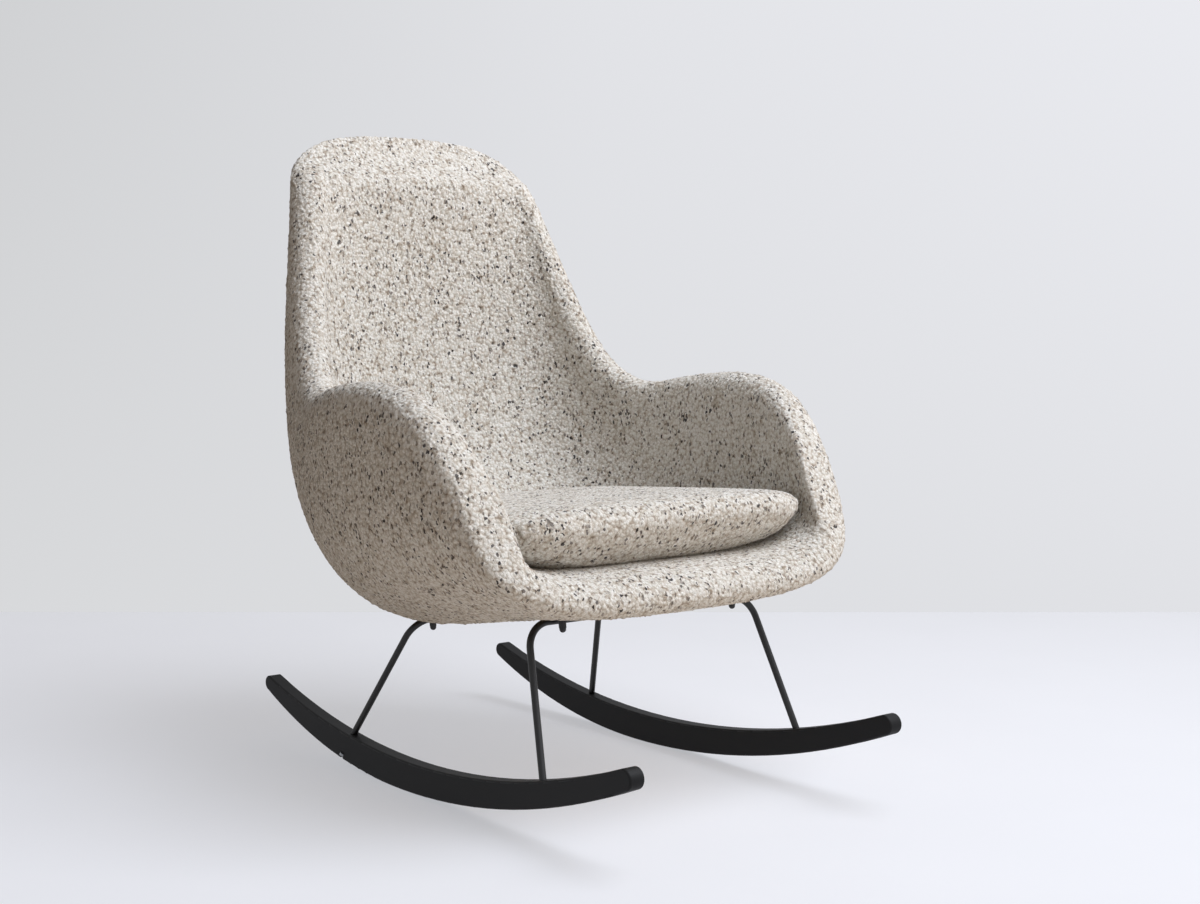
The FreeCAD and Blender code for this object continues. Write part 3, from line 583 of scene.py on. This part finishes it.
def boucle():
    """Wool boucle: pale yarn nubs 5 mm apart with painted brown shade in the hollows between them, and soft
    charcoal and grey flecks 3 mm across, a little longer up and down. The fibres are too fine to show, so
    they are drawn
    1.2 mm across."""
    made, tree, shader, place = material("wool_boucle")
    warp = add(tree, "ShaderNodeTexNoise", {"Vector": place}, Scale=1 / 0.005, Detail=2.0)
    bent = add(tree, "ShaderNodeVectorMath", {0: warp.outputs["Color"], 2: place}, operation="MULTIPLY_ADD")
    bent.inputs[1].default_value = (0.004, 0.004, 0.004)
    long = add(tree, "ShaderNodeMapping", {"Vector": bent.outputs[0]})
    long.inputs["Scale"].default_value = (1.0, 1.0, 0.68)
    cells = add(tree, "ShaderNodeTexVoronoi", {"Vector": long.outputs[0]}, Scale=1 / 0.0032)
    nubs = add(tree, "ShaderNodeTexVoronoi", {"Vector": bent.outputs[0]}, Scale=1 / 0.0050)
    chance = add(tree, "ShaderNodeSeparateColor", {"Color": cells.outputs["Color"]})
    patches = add(tree, "ShaderNodeTexNoise", {"Vector": place}, Scale=1 / 0.03, Detail=2.0)
    pick = add(tree, "ShaderNodeMath", {0: patches.outputs["Fac"], 2: chance.outputs[0]},
               operation="MULTIPLY_ADD")
    pick.inputs[1].default_value = 0.3
    yarn = add(tree, "ShaderNodeValToRGB", {"Fac": pick.outputs[0]}, stops=(
        (0.14, "#4e4d50"), (0.17, "#72706f"), (0.21, "#aaa59f"), (0.26, "#d6d5d0"), (0.34, "#e9e9e5"),
        (1.0, "#f4f5f3")))
    fibre = add(tree, "ShaderNodeTexNoise", {"Vector": long.outputs[0]}, Scale=1 / 0.0012, Detail=3.0)
    strand = add(tree, "ShaderNodeValToRGB", {"Fac": fibre.outputs["Fac"]},
                 stops=((0.3, "#dfdad4"), (0.7, "#ffffff")))
    tall = add(tree, "ShaderNodeAttribute", attribute_name="loop_height")
    # Painted shade: the cloth turns a darker warm brown where the loop under it is low, between the loops.
    hollow_shade = add(tree, "ShaderNodeValToRGB", {"Fac": tall.outputs["Fac"]},
                 stops=((0.0, "#b7aca0"), (0.3, "#e2dbd3"), (0.6, "#ffffff")))
    # Painted shade: each nub is pale in its middle and browner towards its edge, where the crevices between
    # nubs lie.
    gap = add(tree, "ShaderNodeValToRGB", {"Fac": nubs.outputs["Distance"]},
              stops=((0.42, "#ffffff"), (0.70, "#e6e0d9"), (0.95, "#b3a89d")))
    colour = yarn.outputs["Color"]
    # The fibres' tone, then painted shade in the hollows and at the nubs' edges, multiply the yarn's colour.
    for layer in (strand, hollow_shade, gap):
        product = add(tree, "ShaderNodeMix", {6: colour, 7: layer.outputs["Color"]}, data_type="RGBA",
                      blend_type="MULTIPLY")
        product.inputs[0].default_value = 1.0
        colour = product.outputs[2]
    dome = add(tree, "ShaderNodeValToRGB", {"Fac": nubs.outputs["Distance"]},
               stops=((0.0, "#ffffff"), (0.85, "#000000")))
    dome.color_ramp.interpolation = "EASE"
    rough = add(tree, "ShaderNodeMath", {0: dome.outputs["Color"], 1: fibre.outputs["Fac"]}, operation="ADD")
    bump = add(tree, "ShaderNodeBump", {"Height": rough.outputs[0]}, Strength=0.8, Distance=0.0016)
    tree.links.new(colour, shader.inputs["Base Color"])
    tree.links.new(bump.outputs[0], shader.inputs["Normal"])
    shader.inputs["Roughness"].default_value = 0.95
    shader.inputs["Specular IOR Level"].default_value = 0.15
    shader.inputs["Sheen Weight"].default_value = 0.12
    shader.inputs["Sheen Roughness"].default_value = 0.5
    return made


def lacquered_wood():
    """Beech with black satin lacquer: faint grain 1.5 mm across and 60 mm long under an even film."""
    made, tree, shader, place = material("black_lacquered_beech")
    along = add(tree, "ShaderNodeMapping", {"Vector": place})
    along.inputs["Scale"].default_value = (1.0, 0.025, 1.0)
    grain = add(tree, "ShaderNodeTexNoise", {"Vector": along.outputs[0]}, Scale=1 / 0.0015, Detail=4.0)
    film = add(tree, "ShaderNodeValToRGB", {"Fac": grain.outputs["Fac"]},
               stops=((0.3, "#0b0b0c"), (0.7, "#131315")))
    gloss = add(tree, "ShaderNodeMapRange", {"Value": grain.outputs["Fac"]}, To_Min=0.52, To_Max=0.64)
    bump = add(tree, "ShaderNodeBump", {"Height": grain.outputs["Fac"]}, Strength=0.15, Distance=0.0003)
    tree.links.new(film.outputs["Color"], shader.inputs["Base Color"])
    tree.links.new(gloss.outputs[0], shader.inputs["Roughness"])
    tree.links.new(bump.outputs[0], shader.inputs["Normal"])
    shader.inputs["Specular IOR Level"].default_value = 0.22
    return made


def coated_steel():
    """Steel with black powder coat: a fine orange peel 0.8 mm across."""
    made, tree, shader, place = material("black_powder_coated_steel")
    peel = add(tree, "ShaderNodeTexNoise", {"Vector": place}, Scale=1 / 0.0008, Detail=2.0)
    film = add(tree, "ShaderNodeValToRGB", {"Fac": peel.outputs["Fac"]},
               stops=((0.3, "#0c0c0d"), (0.7, "#141416")))
    gloss = add(tree, "ShaderNodeMapRange", {"Value": peel.outputs["Fac"]}, To_Min=0.36, To_Max=0.50)
    bump = add(tree, "ShaderNodeBump", {"Height": peel.outputs["Fac"]}, Strength=0.2, Distance=0.0002)
    tree.links.new(film.outputs["Color"], shader.inputs["Base Color"])
    tree.links.new(gloss.outputs[0], shader.inputs["Roughness"])
    tree.links.new(bump.outputs[0], shader.inputs["Normal"])
    return made


def zinc_steel():
    """Zinc-plated steel: brushed streaks 0.5 mm apart with a spread of gloss."""
    made, tree, shader, place = material("zinc_plated_steel")
    streak = add(tree, "ShaderNodeTexNoise", {"Vector": place}, Scale=1 / 0.0005, Detail=3.0)
    film = add(tree, "ShaderNodeValToRGB", {"Fac": streak.outputs["Fac"]},
               stops=((0.3, "#8b8d90"), (0.7, "#a9abae")))
    gloss = add(tree, "ShaderNodeMapRange", {"Value": streak.outputs["Fac"]}, To_Min=0.28, To_Max=0.42)
    tree.links.new(film.outputs["Color"], shader.inputs["Base Color"])
    tree.links.new(gloss.outputs[0], shader.inputs["Roughness"])
    shader.inputs["Metallic"].default_value = 1.0
    return made


def plywood():
    """Birch plywood: face grain 2 mm across and 80 mm long, left raw."""
    made, tree, shader, place = material("birch_plywood")
    along = add(tree, "ShaderNodeMapping", {"Vector": place})
    along.inputs["Scale"].default_value = (1.0, 0.025, 1.0)
    grain = add(tree, "ShaderNodeTexNoise", {"Vector": along.outputs[0]}, Scale=1 / 0.002, Detail=5.0)
    wood = add(tree, "ShaderNodeValToRGB", {"Fac": grain.outputs["Fac"]},
               stops=((0.25, "#b08f66"), (0.55, "#cbb08a"), (0.8, "#d9c4a2")))
    bump = add(tree, "ShaderNodeBump", {"Height": grain.outputs["Fac"]}, Strength=0.2, Distance=0.0004)
    tree.links.new(wood.outputs["Color"], shader.inputs["Base Color"])
    tree.links.new(bump.outputs[0], shader.inputs["Normal"])
    shader.inputs["Roughness"].default_value = 0.7
    return made


def moulded_plastic():
    """Moulded polypropylene: black with a fine mould texture 1 mm across."""
    made, tree, shader, place = material("moulded_polypropylene")
    grit = add(tree, "ShaderNodeTexNoise", {"Vector": place}, Scale=1 / 0.001, Detail=2.0)
    tone = add(tree, "ShaderNodeValToRGB", {"Fac": grit.outputs["Fac"]},
               stops=((0.3, "#1c1c1d"), (0.7, "#262627")))
    bump = add(tree, "ShaderNodeBump", {"Height": grit.outputs["Fac"]}, Strength=0.3, Distance=0.0003)
    tree.links.new(tone.outputs["Color"], shader.inputs["Base Color"])
    tree.links.new(bump.outputs[0], shader.inputs["Normal"])
    shader.inputs["Roughness"].default_value = 0.6
    return made


FABRIC = boucle()
FINISHES = {"black_wood": lacquered_wood(), "black_steel": coated_steel(), "zinc_steel": zinc_steel(),
            "plywood": plywood(), "moulded_shell": moulded_plastic()}
for part in frame["record"]["subparts"]:
    if part["material_slot"] in FINISHES:
        mesh = frame["nodes"][part["node"]].data
        mesh.materials.clear()
        mesh.materials.append(FINISHES[part["material_slot"]])

bucket = bucket_upholstery()
cushion = seat_cushion()
BUCKET_NODES = ("fabric_cover", "seat_inner_foam", "back_inner_foam", "seat_outer_foam", "back_outer_foam")
CUSHION_NODES = ("cushion_cover", "cushion_core")
for piece, body, nodes in ((bucket, "chair", BUCKET_NODES), (cushion, "cushion", CUSHION_NODES)):
    piece.data.materials.append(FABRIC)
    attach(piece, body)
    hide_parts(*nodes)


# Camera, at the photograph's place: 38 degrees to the sitter's right of straight ahead
YAW, PITCH = 0.66319, -0.07877
lens = bpy.data.cameras.new("camera")
lens.sensor_fit, lens.sensor_width, lens.lens = "HORIZONTAL", 36.0, 51.71
camera = bpy.data.objects.new("camera", lens)
camera.location = (-1.5506, -2.09615, 0.6975)
camera.rotation_euler = (math.pi / 2 + PITCH, 0.0, -YAW)
bpy.context.scene.collection.objects.link(camera)
bpy.context.scene.camera = camera

# Ways across and into the view, on the floor
RIGHT = np.array((math.cos(YAW), -math.sin(YAW), 0.0))
AHEAD = np.array((math.sin(YAW), math.cos(YAW), 0.0))

# Floor: reach to the sides and behind the camera, far edge ahead of the camera, and points each way
FLOOR_REACH, FLOOR_EDGE, FLOOR_POINTS = 9, 4.03, 13
# Share of the floor's own tone in what the camera sees of it
FLOOR_TONE = 0.5


def floor_slab():
    """A flat grid across the view, from well behind the camera to the far edge."""
    n = FLOOR_POINTS
    u, v = np.meshgrid(np.linspace(-FLOOR_REACH, FLOOR_REACH, n), np.linspace(-FLOOR_REACH, FLOOR_EDGE, n),
                       indexing="ij")
    start = np.array(camera.location) * (1, 1, 0)
    points = start + u[..., None] * RIGHT + v[..., None] * AHEAD
    i, j = np.meshgrid(np.arange(n - 1), np.arange(n - 1), indexing="ij")
    quads = np.stack([i * n + j, (i + 1) * n + j, (i + 1) * n + j + 1, i * n + j + 1], -1).reshape(-1, 4)
    return add_mesh("studio_floor", points.reshape(-1, 3), [quads])


def floor_paint():
    """Pale matt paint, faintly mottled: the camera sees a mix of its own tone and the light on it, so that
    the shadow stays soft, and the light that it throws back is a little warmer."""
    made, tree, shader, place = material("pale_studio_floor")
    mottle = add(tree, "ShaderNodeTexNoise", {"Vector": place}, Scale=1 / 0.35, Detail=2.0)
    pale = add(tree, "ShaderNodeValToRGB", {"Fac": mottle.outputs["Fac"]},
               stops=((0.3, "#e6e8ee"), (0.7, "#e9ebf1")))
    shader.inputs["Roughness"].default_value = 0.6
    seen = seen_rays(tree)
    bounce = add(tree, "ShaderNodeMix", {0: seen, 7: pale.outputs["Color"]}, data_type="RGBA")
    bounce.inputs[6].default_value = linear("#f0e5d9")
    tree.links.new(bounce.outputs[2], shader.inputs["Base Color"])
    share = add(tree, "ShaderNodeMath", {0: seen}, operation="MULTIPLY")
    share.inputs[1].default_value = FLOOR_TONE
    tone = add(tree, "ShaderNodeEmission", Color=linear("#f0f2f8"), Strength=1.0)
    blend = add(tree, "ShaderNodeMixShader", {0: share.outputs[0], 1: shader.outputs[0], 2: tone.outputs[0]})
    tree.links.new(blend.outputs[0], tree.nodes["Material Output"].inputs["Surface"])
    return made


floor = floor_slab()
floor.data.materials.append(floor_paint())


def lamp(name, at, aim, size, power, colour):
    """A square softbox of a size in metres and a power in watts, turned to a point."""
    light = bpy.data.lights.new(name, "AREA")
    light.shape, light.size, light.energy, light.color = "SQUARE", size, power, linear(colour)[:3]
    made = bpy.data.objects.new(name, light)
    made.location = at
    turn = Vector(np.array(aim) - np.array(at)).to_track_quat("-Z", "Y")
    made.rotation_euler = turn.to_euler()
    bpy.context.scene.collection.objects.link(made)


SEAT = np.array((0.0, 0.0, 0.5))
lamp("front_softbox", SEAT + 1.6 * RIGHT - 0.75 * AHEAD + (0, 0, 3.0), SEAT, 2.6, 142, "#f3f7ff")
lamp("side_softbox", SEAT + 3.6 * RIGHT - 0.6 * AHEAD + (0, 0, 2.0), SEAT, 2.2, 24, "#fbfcff")


def studio_world():
    """Soft warm light that is stronger from the right, and the pale wall that the camera sees, brighter to
    the upper right."""
    world = bpy.data.worlds.new("studio")
    world.use_nodes = True
    tree = world.node_tree
    tree.nodes.clear()
    way = add(tree, "ShaderNodeTexCoord").outputs["Generated"]
    across = add(tree, "ShaderNodeVectorMath", {0: way}, operation="DOT_PRODUCT")
    across.inputs[1].default_value = tuple(RIGHT)
    side = add(tree, "ShaderNodeMapRange", {"Value": across.outputs["Value"]}, From_Min=-0.33, From_Max=0.33)
    up = add(tree, "ShaderNodeSeparateXYZ", {"Vector": way})
    rise = add(tree, "ShaderNodeMapRange", {"Value": up.outputs["Z"]}, From_Min=-0.16, From_Max=0.17)
    low = add(tree, "ShaderNodeValToRGB", {"Fac": side.outputs[0]},
              stops=((0.0, "#d8d9db"), (1.0, "#e1e2e6")))
    high = add(tree, "ShaderNodeValToRGB", {"Fac": side.outputs[0]},
               stops=((0.0, "#d0d1d3"), (0.5, "#e2e3e7"), (1.0, "#eaebf0")))
    wall = add(tree, "ShaderNodeMix", {0: rise.outputs[0], 6: low.outputs[0], 7: high.outputs[0]},
               data_type="RGBA")
    backdrop = add(tree, "ShaderNodeBackground", {"Color": wall.outputs[2]}, Strength=1.0)
    glow = add(tree, "ShaderNodeMapRange", {"Value": across.outputs["Value"]}, From_Min=-0.7, From_Max=0.9,
               To_Min=0.06, To_Max=0.45)
    soft = add(tree, "ShaderNodeBackground", {"Strength": glow.outputs[0]}, Color=linear("#ffeddc"))
    both = add(tree, "ShaderNodeMixShader", {0: seen_rays(tree), 1: soft.outputs[0], 2: backdrop.outputs[0]})
    add(tree, "ShaderNodeOutputWorld", {"Surface": both.outputs[0]})
    return world


bpy.context.scene.world = studio_world()
bpy.context.scene.view_settings.view_transform = "Standard"
